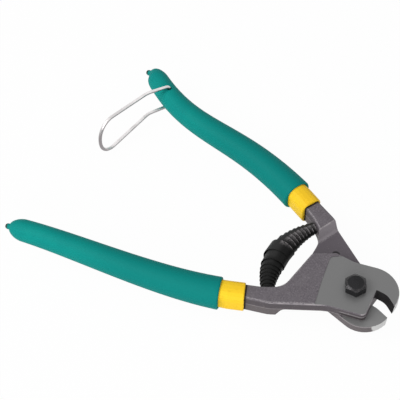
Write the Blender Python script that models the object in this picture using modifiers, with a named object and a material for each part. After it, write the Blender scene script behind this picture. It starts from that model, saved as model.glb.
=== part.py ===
"""Cable cutter with two dipped handles, a double volute return spring and a wire handle lock.

The origin is the foot of the pivot bolt, +Z runs up the bolt and +X points to the jaws.
Each lever is modelled in its own frame: the pivot axis is Z, the lap face lies near z = 0, the plate is
above it and the arm runs to -X and -Y. The moving lever is the same forging turned over about X.
"""

import math

import bmesh
import bpy
from mathutils import Matrix, Vector
from mathutils.geometry import interpolate_bezier

MM = 0.001

# Clearances
SEAT_GAP = 0.3 * MM
RUNNING_GAP = 0.3 * MM
LAP_GAP = 0.3 * MM

# Lever forging
ARM_THICKNESS = 10.9 * MM
ARM_WIDTH = 8.0 * MM
EDGE_ROUND = 0.9 * MM
JAW_EDGE_ROUND = 0.25
MACHINED_STEP = 0.25 * MM
RAMP_ANGLE = math.radians(20)
RAMP_RUN = 3.3 * MM
RAMP_FOOT_RADIUS = 3.0 * MM
EDGE_RELIEF = 1.7 * MM
THROAT_REACH = 0.75 * MM

# Lever head outline: corners as x, y, fillet radius
JAW_CENTRE = (6.85 * MM, 2.5 * MM)
JAW_BACK_END = math.radians(104)
REAR_SIDE = (
    (-8.05 * MM, 13.1 * MM, 10 * MM),
    (-18.05 * MM, 12.9 * MM, 3 * MM),
    (-28.05 * MM, 6.2 * MM, 2.5 * MM),
)
MACHINED_EDGE = (
    (-9.45 * MM, -26 * MM, 0),
    (-15.55 * MM, -6.0 * MM, 60 * MM),
    (-19.35 * MM, 9.2 * MM, 3 * MM),
    (-11.45 * MM, 15.0 * MM, 0),
)

# Sizes that differ between the two levers.
# outer_side: corners of the side away from the mouth; edge: throat corner and bend of the cutting edge;
# front: the plate's corner under the mouth; web_depth: from the spring's seat in to the web's corner;
# ramp_distance: from the pivot to the top of the ramp; seat_distance: from the pivot to the spring's seat;
# route: centreline of the handle from the sleeve's mouth; nib_tip: end of the drip nib, in millimetres.
HOOKED = {
    "outer_side": ((-30.45 * MM, -30.9 * MM, 14 * MM), (-6.15 * MM, -16.3 * MM, 20 * MM)),
    "edge": ((9.2 * MM, 3.05 * MM, 0.5 * MM), (15.15 * MM, 3.2 * MM, 8 * MM)),
    "tip_y": -0.25 * MM,
    "jaw_radius": 14.2 * MM,
    "front": (12.15 * MM, -11.6 * MM, 2.6 * MM),
    "web_depth": 7.1942 * MM,
    "web_fillet": 9.5 * MM,
    "ramp_distance": 35.9 * MM,
    "seat_distance": 42.35 * MM,
    "route": ((-43.6, -31.15), (-78.85, -49.1), (-133.75, -50.9), (-167.1, -61.5)),
    "nib_tip": (-167.1, -61.5),
}
STRAIGHT = {
    "outer_side": ((-29.95 * MM, -30.6 * MM, 14 * MM), (-5.95 * MM, -16.6 * MM, 20 * MM)),
    "edge": ((9.45 * MM, 1.0 * MM, 0.5 * MM), (12.95 * MM, 1.0 * MM, 14 * MM)),
    "tip_y": 3.1 * MM,
    "jaw_radius": 13.4 * MM,
    "front": (9.75 * MM, -11.5 * MM, 2.6 * MM),
    "web_depth": 7.3143 * MM,
    "web_fillet": 12.0 * MM,
    "ramp_distance": 37.7 * MM,
    "seat_distance": 43.3 * MM,
    "route": ((-43.55, -31.4), (-105.25, -57.7), (-119.05, -35.3), (-164.85, -65.15)),
    "nib_tip": (-166.55, -62.45),
}

# Handles
TANG_SHOULDER = 0.15 * MM
TANG_BAR_LENGTH = 8.0 * MM
TANG_TO_DOME = 6.0 * MM
TANG_END_WIDTH = 4.8 * MM
TANG_END_THICKNESS = 5.2 * MM
TANG_CORNER = 1.0 * MM
SLEEVE_WALL = 1.45 * MM
SLEEVE_CORNER = 4.6 * MM
SLEEVE_RIM = 0.4 * MM
SLEEVE_SHOWN = 12.0 * MM
GRIP_START_WIDTH = 16.1 * MM
GRIP_END_WIDTH = 10.9 * MM
GRIP_HEIGHT_RATIO = 1.06
GRIP_DOME = 8.5 * MM
GRIP_DOME_POWER = 0.66
GRIP_RIM = 0.8 * MM
NIB_WIDTH = 2.9 * MM
NIB_END_WIDTH = 1.7 * MM
NIB_LENGTH = 2.4 * MM
NIB_BEND = 8.0 * MM

# Pivot
BOLT_DIAMETER = 6.0 * MM
HEAD_ACROSS_FLATS = 10.0 * MM
HEAD_HEIGHT = 4.4 * MM
HEAD_FLAT = 8.0 * MM
HEAD_TURN = math.radians(33.5)
HEX_CHAMFER = math.radians(30)
WASHER_DIAMETER = 12.0 * MM
WASHER_THICKNESS = 1.6 * MM
NUT_ACROSS_FLATS = 10.0 * MM
NUT_HEIGHT = 6.0 * MM
NUT_COLLAR_DIAMETER = 9.4 * MM
NUT_COLLAR_HEIGHT = 1.6 * MM
NUT_COLLAR_ROUND = 0.45 * MM
RING_DIAMETER = 7.7 * MM
RING_THICKNESS = 1.4 * MM
BOLT_BEYOND_NUT = 1.3 * MM
BOLT_CHAMFER = 0.6 * MM

# Return spring
SEAT_ANGLE = math.radians(32.5)
SPRING_END_DIAMETER = 5.5 * MM
SPRING_MIDDLE_DIAMETER = 13.2 * MM
STRIP_WIDTH = 6.2 * MM
STRIP_THICKNESS = 0.22 * MM
TURNS_EACH_HALF = 8.5
CLOSED_TURNS = 0.75
END_STEP = 1.75 * MM
SWELL_POWER = 6.5
EVEN_SWELL = 0.72
STUB_DIAMETER = 4.4 * MM
STUB_TIP_DIAMETER = 3.6 * MM
STUB_LENGTH = 3.0 * MM
STUB_ROOT = 2.0 * MM

# Lock wire
WIRE_DIAMETER = 1.9 * MM
WIRE_HOLE_TO_TANG_END = 4.9 * MM
WIRE_LEG_HEIGHT = 7.85 * MM
WIRE_END_GAP = 1.2 * MM
WIRE_BEND = 2.0 * MM
WIRE_KINK = 12.5 * MM
WIRE_KINK_SOFTNESS = 2.5 * MM
WIRE_KINK_HEIGHT = 8.4 * MM
WIRE_END_START = 38.5 * MM
WIRE_END_HEIGHT = 11.8 * MM
WIRE_LENGTH = 48.3 * MM
WIRE_END_FULLNESS = 0.74
WIRE_FIRST_HEADING = math.radians(238.5)
WIRE_SECOND_HEADING = math.radians(260.4)

# Facets
ARC_STEP = math.radians(9)
CORNER_STEPS = 4
TANG_STATIONS = 13
DOME_STEPS = 6
ROUTE_STEP = 1.3 * MM
NIB_POINTS = 13
COIL_SIDES = 16
ROUND_SIDES = 32
WIRE_BEND_POINTS = 5
WIRE_LEG_POINTS = 4
WIRE_END_POINTS = 14
WELD = 0.001 * MM
REACH = 60 * MM

HALF_THICKNESS = ARM_THICKNESS / 2
LAP_FACE = LAP_GAP / 2
PLATE_FACE = HALF_THICKNESS - MACHINED_STEP
HEAD_SEAT = PLATE_FACE + SEAT_GAP
WASHER_TOP = -PLATE_FACE - SEAT_GAP
NUT_TOP = WASHER_TOP - WASHER_THICKNESS - SEAT_GAP
NUT_FOOT = NUT_TOP - NUT_HEIGHT
BOLT_FOOT = NUT_FOOT - BOLT_BEYOND_NUT
LAP_HEIGHT = -BOLT_FOOT
BORE_RADIUS = BOLT_DIAMETER / 2 + RUNNING_GAP
WIRE_HOLE_RADIUS = WIRE_DIAMETER / 2 + RUNNING_GAP

COLOURS = {
    "forging": ((0.150, 0.128, 0.145), 0.55, 0.85),
    "bolt": ((0.022, 0.022, 0.024), 0.40, 0.80),
    "spring": ((0.018, 0.018, 0.018), 0.50, 0.60),
    "zinc": ((0.45, 0.45, 0.46), 0.35, 1.00),
    "nylon": ((0.10, 0.20, 0.55), 0.50, 0.00),
    "sleeve": ((0.98, 0.66, 0.035), 0.40, 0.00),
    "grip": ((0.006, 0.260, 0.225), 0.60, 0.00),
    "wire": ((0.55, 0.54, 0.54), 0.25, 1.00),
}


# Scene, materials and objects

def clear_scene():
    for old in list(bpy.data.objects):
        bpy.data.objects.remove(old, do_unlink=True)


def new_collection(name):
    collection = bpy.data.collections.new(name)
    bpy.context.scene.collection.children.link(collection)
    return collection


def make_material(name, colour_name):
    colour, roughness, metallic = COLOURS[colour_name]
    material = bpy.data.materials.new(name + "_finish")
    material.use_nodes = True
    shader = material.node_tree.nodes["Principled BSDF"]
    shader.inputs["Base Color"].default_value = (*colour, 1.0)
    shader.inputs["Roughness"].default_value = roughness
    shader.inputs["Metallic"].default_value = metallic
    return material


def add_object(name, mesh, collection):
    obj = bpy.data.objects.new(name, mesh)
    collection.objects.link(obj)
    return obj


def finish_part(obj, colour_name, sharp_degrees=35):
    obj.data.materials.clear()
    obj.data.materials.append(make_material(obj.name, colour_name))
    obj.data.shade_smooth()
    obj.data.set_sharp_from_angle(angle=math.radians(sharp_degrees))


def hide_helper(obj, owner=None):
    obj.hide_render = True
    obj.display_type = "WIRE"
    obj.parent = owner


def add_boolean(obj, operation, helper):
    modifier = obj.modifiers.new(helper.name, "BOOLEAN")
    modifier.operation = operation
    modifier.solver = "EXACT"
    modifier.object = helper
    if helper.parent is None:
        hide_helper(helper, obj)


# Shapes

def rounded_outline(corners):
    """Points of a closed outline whose corners (x, y, radius) are filleted."""
    points = []
    for index, (x, y, radius) in enumerate(corners):
        corner = Vector((x, y))
        before = Vector(corners[index - 1][:2])
        after = Vector(corners[(index + 1) % len(corners)][:2])
        points += fillet(before, corner, after, radius)
    return points


def fillet(before, corner, after, radius):
    arriving = (corner - before).normalized()
    leaving = (after - corner).normalized()
    turn = math.atan2(arriving.cross(leaving), arriving.dot(leaving))
    if radius == 0 or abs(turn) < math.radians(1):
        return [tuple(corner)]
    start = corner - arriving * radius * math.tan(abs(turn) / 2)
    side = math.copysign(1, turn)
    centre = start + Vector((-arriving.y, arriving.x)) * radius * side
    steps = max(1, math.ceil(abs(turn) / ARC_STEP))
    spoke = start - centre
    return [tuple(centre + Matrix.Rotation(turn * step / steps, 2) @ spoke) for step in range(steps + 1)]


def flat_solid(name, outline, low, high, collection):
    """A plate with the given outline between two heights, its flat faces each one polygon."""
    curve = bpy.data.curves.new(name, "CURVE")
    curve.dimensions = "2D"
    curve.fill_mode = "BOTH"
    curve.extrude = (high - low) / 2
    spline = curve.splines.new("POLY")
    spline.points.add(len(outline) - 1)
    for point, (x, y) in zip(spline.points, outline):
        point.co = (x, y, 0, 1)
    spline.use_cyclic_u = True
    source = add_object(name + "_outline", curve, collection)
    mesh = bpy.data.meshes.new_from_object(source.evaluated_get(bpy.context.evaluated_depsgraph_get()))
    bpy.data.objects.remove(source)
    bm = bmesh.new()
    bm.from_mesh(mesh)
    bmesh.ops.remove_doubles(bm, verts=bm.verts, dist=WELD)
    bmesh.ops.dissolve_limit(bm, angle_limit=math.radians(0.2), verts=bm.verts, edges=bm.edges)
    bmesh.ops.translate(bm, verts=bm.verts, vec=(0, 0, (low + high) / 2))
    bm.to_mesh(mesh)
    bm.free()
    return add_object(name, mesh, collection)


def drum(
    name, radius, low, high, collection,
    top_radius=None, sides=ROUND_SIDES, transform=Matrix.Identity(4),
):
    """A cylinder, cone or prism between two heights."""
    if top_radius is None:
        top_radius = radius
    mesh = bpy.data.meshes.new(name)
    bm = bmesh.new()
    bmesh.ops.create_cone(
        bm, cap_ends=True, segments=sides, radius1=radius, radius2=top_radius,
        depth=high - low, matrix=transform @ Matrix.Translation((0, 0, (low + high) / 2)),
    )
    bm.to_mesh(mesh)
    bm.free()
    return add_object(name, mesh, collection)


def turned(name, profile, collection, closed=False):
    """A solid of revolution about Z. The profile runs down its outer side at +X."""
    mesh = bpy.data.meshes.new(name)
    bm = bmesh.new()
    verts = [bm.verts.new((radius, 0, height)) for radius, height in profile]
    pairs = list(zip(verts, verts[1:]))
    if closed:
        pairs.append((verts[-1], verts[0]))
    for pair in pairs:
        bm.edges.new(pair)
    bm.to_mesh(mesh)
    bm.free()
    obj = add_object(name, mesh, collection)
    screw = obj.modifiers.new("turn", "SCREW")
    screw.axis = "Z"
    screw.steps = ROUND_SIDES
    screw.render_steps = ROUND_SIDES
    screw.use_merge_vertices = True
    screw.merge_threshold = WELD
    return obj


def loft(name, rings, collection):
    """A closed skin through rings of equally many points, with a flat face over each end ring."""
    mesh = bpy.data.meshes.new(name)
    bm = bmesh.new()
    rows = [[bm.verts.new(point) for point in ring] for ring in rings]
    count = len(rings[0])
    for row, following in zip(rows, rows[1:]):
        for index in range(count):
            beside = (index + 1) % count
            bm.faces.new((row[index], row[beside], following[beside], following[index]))
    bm.faces.new(rows[0])
    bm.faces.new(rows[-1])
    bmesh.ops.recalc_face_normals(bm, faces=bm.faces)
    bm.to_mesh(mesh)
    bm.free()
    return add_object(name, mesh, collection)


# Handle route and sections

def route_points(sizes):
    """The handle's centreline, with its last part bent towards the end of the nib."""
    ends = [Vector((x * MM, y * MM, 0)) for x, y in sizes["route"]]
    points = interpolate_bezier(*ends, math.ceil((ends[-1] - ends[0]).length / ROUTE_STEP))
    kept = [point for point in points if (point - points[-1]).length > NIB_BEND]
    tip_x, tip_y = sizes["nib_tip"]
    tip = Vector((tip_x * MM, tip_y * MM, 0))
    bend = kept[-1] + (kept[-1] - kept[-2]).normalized() * (tip - kept[-1]).length / 2
    return kept[:-1] + interpolate_bezier(kept[-1], bend, bend, tip, NIB_POINTS)


def route_length(route):
    return sum((end - start).length for start, end in zip(route, route[1:]))


def station(route, distance):
    """The point, the heading and the sideways direction at a distance along a route."""
    walked = 0.0
    for start, end in zip(route, route[1:]):
        step = (end - start).length
        if walked + step >= distance or end is route[-1]:
            heading = (end - start) / step
            return start + heading * (distance - walked), heading, Vector((-heading.y, heading.x, 0))
        walked += step


def section_ring(route, distance, half_width, half_height, corner):
    """A rounded rectangle across the route."""
    centre, _, sideways = station(route, distance)
    corner = min(corner, half_width - WELD, half_height - WELD)
    ring = []
    for quarter, (across, up) in enumerate(((1, 1), (-1, 1), (-1, -1), (1, -1))):
        for step in range(CORNER_STEPS + 1):
            angle = (quarter + step / CORNER_STEPS) * math.pi / 2
            width = across * (half_width - corner) + corner * math.cos(angle)
            height = up * (half_height - corner) + corner * math.sin(angle)
            ring.append(centre + sideways * width + Vector((0, 0, height)))
    return ring


def grip_end_distance(route):
    """Where the grip's dome ends and its nib begins."""
    return route_length(route) - NIB_LENGTH


def tang_length(route):
    """The tang ends a little before the grip's dome, wherever that is."""
    return grip_end_distance(route) - GRIP_DOME - TANG_TO_DOME


def tang_half_size(route, distance):
    """Half the tang's width and thickness, straight at first and then tapering."""
    share = max(0.0, distance - TANG_BAR_LENGTH) / (tang_length(route) - TANG_BAR_LENGTH)
    width = ARM_WIDTH + (TANG_END_WIDTH - ARM_WIDTH) * share
    thickness = ARM_THICKNESS + (TANG_END_THICKNESS - ARM_THICKNESS) * share
    return width / 2, thickness / 2


def grown_ring(route, distance, growth, corner):
    half_width, half_height = tang_half_size(route, distance)
    return section_ring(route, distance, half_width + growth, half_height + growth, corner)


def spaced(start, end, count):
    return [start + (end - start) * index / (count - 1) for index in range(count)]


def tang(name, route, collection):
    rings = [
        grown_ring(route, distance, -TANG_SHOULDER, TANG_CORNER)
        for distance in spaced(TANG_BAR_LENGTH / 2, tang_length(route), TANG_STATIONS)
    ]
    return loft(name, rings, collection)


def inner_sleeve(name, route, collection):
    """The yellow sheath round the whole tang, open at its mouth and closed at its end."""
    bore_end = tang_length(route) + SEAT_GAP
    outside = SEAT_GAP + SLEEVE_WALL
    inside_rings = [
        grown_ring(route, distance, SEAT_GAP, TANG_CORNER + SEAT_GAP)
        for distance in [*spaced(bore_end, TANG_BAR_LENGTH, TANG_STATIONS - 1), 0]
    ]
    outside_rings = [grown_ring(route, 0, outside - SLEEVE_RIM, SLEEVE_CORNER - SLEEVE_RIM)]
    outside_rings += [
        grown_ring(route, distance, outside, SLEEVE_CORNER)
        for distance in [SLEEVE_RIM, *spaced(TANG_BAR_LENGTH, bore_end + SLEEVE_WALL, TANG_STATIONS - 1)]
    ]
    return loft(name, inside_rings + outside_rings, collection)


def grip_half_width(distance, grip_end):
    share = (distance - SLEEVE_SHOWN) / (grip_end - SLEEVE_SHOWN)
    return (GRIP_START_WIDTH + (GRIP_END_WIDTH - GRIP_START_WIDTH) * share) / 2


def grip_ring(route, distance, half_width):
    return section_ring(route, distance, half_width, half_width * GRIP_HEIGHT_RATIO, half_width)


def grip(name, route, collection):
    """The green sheath over the yellow one, with a domed end and the drip nib left by dipping."""
    growth = SEAT_GAP + SLEEVE_WALL + SEAT_GAP
    bore_end = tang_length(route) + growth
    rings = [
        grown_ring(route, distance, growth, SLEEVE_CORNER + SEAT_GAP)
        for distance in spaced(bore_end, SLEEVE_SHOWN, TANG_STATIONS - 1)
    ]
    grip_end = grip_end_distance(route)
    dome_start = grip_end - GRIP_DOME
    rings.append(grip_ring(route, SLEEVE_SHOWN, grip_half_width(SLEEVE_SHOWN, grip_end) - GRIP_RIM / 2))
    for distance in spaced(SLEEVE_SHOWN + GRIP_RIM, dome_start, TANG_STATIONS):
        rings.append(grip_ring(route, distance, grip_half_width(distance, grip_end)))
    for step in range(1, DOME_STEPS + 1):
        angle = math.pi / 2 * step / DOME_STEPS
        shrink = math.cos(angle) ** (2 * GRIP_DOME_POWER)
        half_width = NIB_WIDTH / 2 + (grip_half_width(dome_start, grip_end) - NIB_WIDTH / 2) * shrink
        rings.append(grip_ring(route, dome_start + GRIP_DOME * math.sin(angle), half_width))
    rings.append(grip_ring(route, grip_end + NIB_LENGTH / 2, NIB_WIDTH / 2))
    rings.append(grip_ring(route, route_length(route), NIB_END_WIDTH / 2))
    return loft(name, rings, collection)


# Levers

def wire_hole_centre(route):
    return station(route, tang_length(route) - WIRE_HOLE_TO_TANG_END)[0]


def on_seat_line(distance):
    """A point on the arm's inner face, where the spring bears, in the lever's own frame."""
    return -distance * math.cos(SEAT_ANGLE), -distance * math.sin(SEAT_ANGLE)


def jaw_tip_angle(sizes):
    return math.asin((sizes["tip_y"] - JAW_CENTRE[1]) / sizes["jaw_radius"])


def jaw_back(sizes):
    """The round back of the jaw, from the tip to where it meets the rear side."""
    radius = sizes["jaw_radius"]
    start = jaw_tip_angle(sizes)
    steps = math.ceil((JAW_BACK_END - start) / ARC_STEP)
    return [
        (JAW_CENTRE[0] + radius * math.cos(angle), JAW_CENTRE[1] + radius * math.sin(angle), 0)
        for angle in spaced(start, JAW_BACK_END, steps + 1)
    ]


def head_corners(sizes, route):
    """Corners of the forging's outline, with the arm cut off inside the sleeve."""
    end, _, sideways = station(route, TANG_BAR_LENGTH)
    start, _, start_sideways = station(route, 0)
    outer_end = end + sideways * ARM_WIDTH / 2
    outer_start = start + start_sideways * ARM_WIDTH / 2
    inner_start = start - start_sideways * ARM_WIDTH / 2
    inner_end = end - sideways * ARM_WIDTH / 2
    web_corner = (*on_seat_line(sizes["seat_distance"] - sizes["web_depth"]), sizes["web_fillet"])
    corners = [(outer_end.x, outer_end.y, 0), (outer_start.x, outer_start.y, 0)]
    corners += [*sizes["outer_side"], sizes["front"], *sizes["edge"]]
    corners += [*jaw_back(sizes), *REAR_SIDE, web_corner]
    corners.append((*on_seat_line(sizes["seat_distance"] + SPRING_END_DIAMETER / 2 + SEAT_GAP), 0))
    corners += [(inner_start.x, inner_start.y, 0), (inner_end.x, inner_end.y, 0)]
    return corners


def shape_edges(obj, sizes):
    """Slopes the cutting edge back from the lap face and marks how far each edge is rounded."""
    throat, bend = sizes["edge"]
    tip_x = JAW_CENTRE[0] + sizes["jaw_radius"] * math.cos(jaw_tip_angle(sizes))
    heights = (throat[1], bend[1], sizes["tip_y"])
    lowest = min(heights) - THROAT_REACH

    def on_edge(vert):
        return throat[0] - WELD < vert.co.x < tip_x + WELD and lowest < vert.co.y < max(heights) + WELD

    bm = bmesh.new()
    bm.from_mesh(obj.data)
    weight = bm.edges.layers.float.new("bevel_weight_edge")
    for line in bm.edges:
        level = abs(line.verts[0].co.z - line.verts[1].co.z) < WELD
        sharp = on_edge(line.verts[0]) and on_edge(line.verts[1])
        line[weight] = (JAW_EDGE_ROUND if sharp else 1.0) if level else 0.0
    for vert in bm.verts:
        if on_edge(vert):
            vert.co.y += EDGE_RELIEF * vert.co.z / HALF_THICKNESS
    bm.to_mesh(obj.data)
    bm.free()


def lap_cutter(name, ramp_distance, collection):
    """Takes away the half of the head under the lap face, up a ramp to the full arm."""
    below = -2 * HALF_THICKNESS
    rise = (LAP_FACE + HALF_THICKNESS) / RAMP_RUN
    foot = -ramp_distance + RAMP_RUN
    low_end = foot + (below - LAP_FACE) / rise
    profile = rounded_outline((
        (low_end, below, 0), (REACH, below, 0), (REACH, LAP_FACE, 0), (foot, LAP_FACE, RAMP_FOOT_RADIUS),
    ))
    cutter = flat_solid(name, profile, -REACH, REACH, collection)
    turn = Matrix.Rotation(RAMP_ANGLE, 4, "Z") @ Matrix.Rotation(math.pi / 2, 4, "X")
    cutter.data.transform(turn)
    return cutter


def machined_cutter(name, collection):
    """Faces the outside of the head down to the bright ground surface."""
    outline = rounded_outline(((REACH, -REACH, 0), (REACH, REACH, 0), *reversed(MACHINED_EDGE)))
    return flat_solid(name, outline, PLATE_FACE, 2 * HALF_THICKNESS, collection)


def spring_stub(name, seat_distance, collection):
    """The forged stub that holds the end of the spring."""
    x, y = on_seat_line(seat_distance)
    outward = Vector((-math.sin(SEAT_ANGLE), math.cos(SEAT_ANGLE), 0))
    turn = outward.to_track_quat("Z", "Y").to_matrix().to_4x4()
    transform = Matrix.Translation((x, y, 0)) @ turn
    return drum(
        name, STUB_DIAMETER / 2, -STUB_ROOT, STUB_LENGTH, collection,
        top_radius=STUB_TIP_DIAMETER / 2, sides=ROUND_SIDES // 2, transform=transform,
    )


def wire_hole_cutter(name, route, owner, collection):
    cutter = drum(
        name, WIRE_HOLE_RADIUS, -2 * HALF_THICKNESS, 2 * HALF_THICKNESS, collection,
        sides=ROUND_SIDES // 2, transform=Matrix.Translation(wire_hole_centre(route)),
    )
    hide_helper(cutter, owner)
    return cutter


def lever(name, sizes, route, parts, cutters):
    outline = rounded_outline(head_corners(sizes, route))
    obj = flat_solid(name, outline, -HALF_THICKNESS, HALF_THICKNESS, parts)
    shape_edges(obj, sizes)
    bevel = obj.modifiers.new("forged_edges", "BEVEL")
    bevel.limit_method = "WEIGHT"
    bevel.width = EDGE_ROUND
    bevel.segments = 2
    bevel.use_clamp_overlap = False
    add_boolean(obj, "DIFFERENCE", lap_cutter(name + "_lap", sizes["ramp_distance"], cutters))
    add_boolean(obj, "DIFFERENCE", machined_cutter(name + "_facing", cutters))
    add_boolean(obj, "UNION", tang(name + "_tang", route, cutters))
    add_boolean(obj, "UNION", spring_stub(name + "_stub", sizes["seat_distance"], cutters))
    bore = drum(name + "_bore", BORE_RADIUS, -2 * HALF_THICKNESS, 2 * HALF_THICKNESS, cutters)
    add_boolean(obj, "DIFFERENCE", bore)
    finish_part(obj, "forging")
    return obj


def handle(side, route, owner, parts):
    """The two dipped layers on one tang."""
    sleeve = inner_sleeve(side + "_inner_sleeve", route, parts)
    cover = grip(side + "_grip", route, parts)
    for piece, colour_name in ((sleeve, "sleeve"), (cover, "grip")):
        piece.parent = owner
        finish_part(piece, colour_name, 50)
    return sleeve, cover


# Pivot

def hex_radius(across_flats):
    return across_flats / math.sqrt(3)


def hex_drop(flat_radius, corner):
    """How far the chamfer comes down at a hexagon's corners."""
    return (corner - flat_radius) * math.tan(HEX_CHAMFER)


def pivot_bolt(parts, cutters):
    top = HEAD_SEAT + HEAD_HEIGHT
    corner = hex_radius(HEAD_ACROSS_FLATS)
    flat = HEAD_FLAT / 2
    turn = Matrix.Rotation(HEAD_TURN, 4, "Z")
    obj = drum("pivot_bolt", corner, HEAD_SEAT, top, parts, sides=6, transform=turn)
    envelope = turned("bolt_head_chamfer", [
        (0, top), (flat, top), (corner + WELD, top - hex_drop(flat, corner)),
        (corner + WELD, HEAD_SEAT - HEAD_HEIGHT), (0, HEAD_SEAT - HEAD_HEIGHT),
    ], cutters)
    add_boolean(obj, "INTERSECT", envelope)
    shank_radius = BOLT_DIAMETER / 2
    inside_head = HEAD_SEAT + HEAD_HEIGHT / 2
    shank = turned("bolt_shank", [
        (0, inside_head), (shank_radius, inside_head), (shank_radius, BOLT_FOOT + BOLT_CHAMFER),
        (shank_radius - BOLT_CHAMFER, BOLT_FOOT), (0, BOLT_FOOT),
    ], cutters)
    add_boolean(obj, "UNION", shank)
    finish_part(obj, "bolt")
    return obj


def pivot_washer(parts):
    outer = WASHER_DIAMETER / 2
    low = WASHER_TOP - WASHER_THICKNESS
    obj = turned("pivot_washer", [
        (BORE_RADIUS, WASHER_TOP), (outer, WASHER_TOP), (outer, low), (BORE_RADIUS, low),
    ], parts, closed=True)
    finish_part(obj, "zinc")
    return obj


def pivot_nut(parts, cutters):
    """A hexagon with a round collar at its outer end, where the locking ring sits."""
    corner = hex_radius(NUT_ACROSS_FLATS)
    obj = drum("pivot_nut", corner, NUT_FOOT, NUT_TOP, parts, sides=6)
    collar = NUT_COLLAR_DIAMETER / 2
    shoulder = NUT_FOOT + NUT_COLLAR_HEIGHT
    flat = NUT_ACROSS_FLATS / 2
    drop = hex_drop(flat, corner)
    envelope = turned("nut_envelope", [
        (0, NUT_TOP), (flat, NUT_TOP), (corner + WELD, NUT_TOP - drop), (corner + WELD, shoulder + drop),
        (flat, shoulder), (collar, shoulder), (collar, NUT_FOOT + NUT_COLLAR_ROUND),
        (collar - NUT_COLLAR_ROUND, NUT_FOOT), (0, NUT_FOOT),
    ], cutters)
    add_boolean(obj, "INTERSECT", envelope)
    recess = RING_DIAMETER / 2 + SEAT_GAP
    recess_top = NUT_FOOT + RING_THICKNESS + SEAT_GAP
    bore = turned("nut_bore", [
        (0, NUT_TOP + NUT_HEIGHT), (BORE_RADIUS, NUT_TOP + NUT_HEIGHT), (BORE_RADIUS, recess_top),
        (recess, recess_top), (recess, NUT_FOOT - NUT_HEIGHT), (0, NUT_FOOT - NUT_HEIGHT),
    ], cutters)
    add_boolean(obj, "DIFFERENCE", bore)
    finish_part(obj, "zinc")
    return obj


def nut_locking_ring(parts):
    outer = RING_DIAMETER / 2
    high = NUT_FOOT + RING_THICKNESS
    obj = turned("nut_locking_ring", [
        (BORE_RADIUS, high), (outer, high), (outer, NUT_FOOT), (BORE_RADIUS, NUT_FOOT),
    ], parts, closed=True)
    finish_part(obj, "nylon")
    return obj


# Return spring

def spring_place(turns, length):
    """Where the strip's middle lies along the spring, and its mean coil radius, at a number of turns."""
    from_end = min(turns, 2 * TURNS_EACH_HALF - turns)
    open_turns = TURNS_EACH_HALF - CLOSED_TURNS
    share = max(0.0, from_end - CLOSED_TURNS) / open_turns
    half_run = (length - STRIP_WIDTH) / 2
    even_run = END_STEP * open_turns
    run = even_run * share + (half_run - even_run) * share ** SWELL_POWER
    place = STRIP_WIDTH / 2 + (run if turns < TURNS_EACH_HALF else 2 * half_run - run)
    end_radius = (SPRING_END_DIAMETER - STRIP_THICKNESS) / 2
    middle_radius = (SPRING_MIDDLE_DIAMETER - STRIP_THICKNESS) / 2
    swell = EVEN_SWELL * from_end / TURNS_EACH_HALF + (1 - EVEN_SWELL) * share ** SWELL_POWER
    return place, end_radius + (middle_radius - end_radius) * swell


def mean_seat_distance():
    return (HOOKED["seat_distance"] + STRAIGHT["seat_distance"]) / 2


def bent(place, radius, angle):
    """A point of a straight coil, wrapped on the arc about the pivot from the lower seat to the upper one."""
    swept = (SEAT_GAP + place) / mean_seat_distance()
    share = swept / (2 * SEAT_ANGLE)
    turn = math.pi + SEAT_ANGLE - swept
    distance = HOOKED["seat_distance"] + (STRAIGHT["seat_distance"] - HOOKED["seat_distance"]) * share
    reach = distance + radius * math.cos(angle)
    return Vector((reach * math.cos(turn), reach * math.sin(turn), radius * math.sin(angle)))


def return_spring(parts):
    length = 2 * SEAT_ANGLE * mean_seat_distance() - 2 * SEAT_GAP
    steps = round(2 * TURNS_EACH_HALF * COIL_SIDES)
    rings = []
    for step in range(steps + 1):
        turns = step / COIL_SIDES
        place, radius = spring_place(turns, length)
        angle = 2 * math.pi * turns
        rings.append([
            bent(place + across * STRIP_WIDTH / 2, radius + out * STRIP_THICKNESS / 2, angle)
            for across, out in ((-1, -1), (1, -1), (1, 1), (-1, 1))
        ])
    obj = loft("return_spring", rings, parts)
    finish_part(obj, "spring", 50)
    return obj


# Lock wire

def wire_plan(distance):
    """The sideways place of the wire at a distance from the hole, kinked once and eased at the kink."""
    first = Vector((math.cos(WIRE_FIRST_HEADING), math.sin(WIRE_FIRST_HEADING)))
    second = Vector((math.cos(WIRE_SECOND_HEADING), math.sin(WIRE_SECOND_HEADING)))
    eased = (distance - WIRE_KINK + WIRE_KINK_SOFTNESS) / (2 * WIRE_KINK_SOFTNESS)
    if eased <= 0:
        return first * distance
    if eased >= 1:
        return first * WIRE_KINK + second * (distance - WIRE_KINK)
    start = first * (WIRE_KINK - WIRE_KINK_SOFTNESS)
    corner = first * WIRE_KINK
    end = corner + second * WIRE_KINK_SOFTNESS
    return start * (1 - eased) ** 2 + corner * 2 * eased * (1 - eased) + end * eased ** 2


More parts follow.
